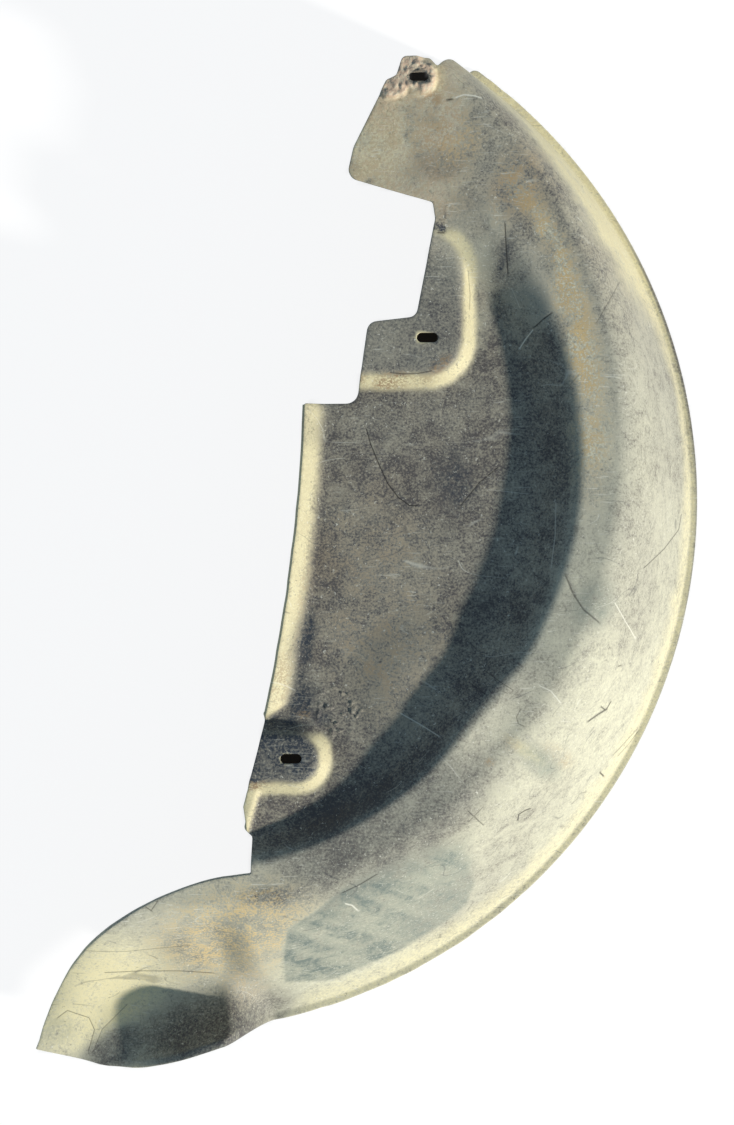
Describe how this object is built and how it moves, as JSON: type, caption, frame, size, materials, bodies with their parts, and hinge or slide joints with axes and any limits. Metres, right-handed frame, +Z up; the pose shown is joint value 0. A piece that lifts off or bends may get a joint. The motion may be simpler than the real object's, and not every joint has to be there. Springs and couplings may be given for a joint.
{
  "type": "wheel arch liner",
  "caption": "Curved moulded plastic inner wheel arch liner: a hump along a round rim, a sunken panel with raised slotted screw seats, and a flared tail.",
  "frame": {"origin": "middle of the base, on the plane that the rim rests on", "axes": "+Z up from the rim plane, along the wheel axis, towards the hump and the car's body; +X towards the middle of the round rim; +Y towards the upper end with the tab"},
  "size_m": [0.456, 0.6887, 0.135],
  "materials": {
    "liner_plastic": "moulded black polypropylene, faded grey, dusty and scratched"
  },
  "bodies": {
    "root": {"liner": "liner_plastic"}
  },
  "joints": []
}
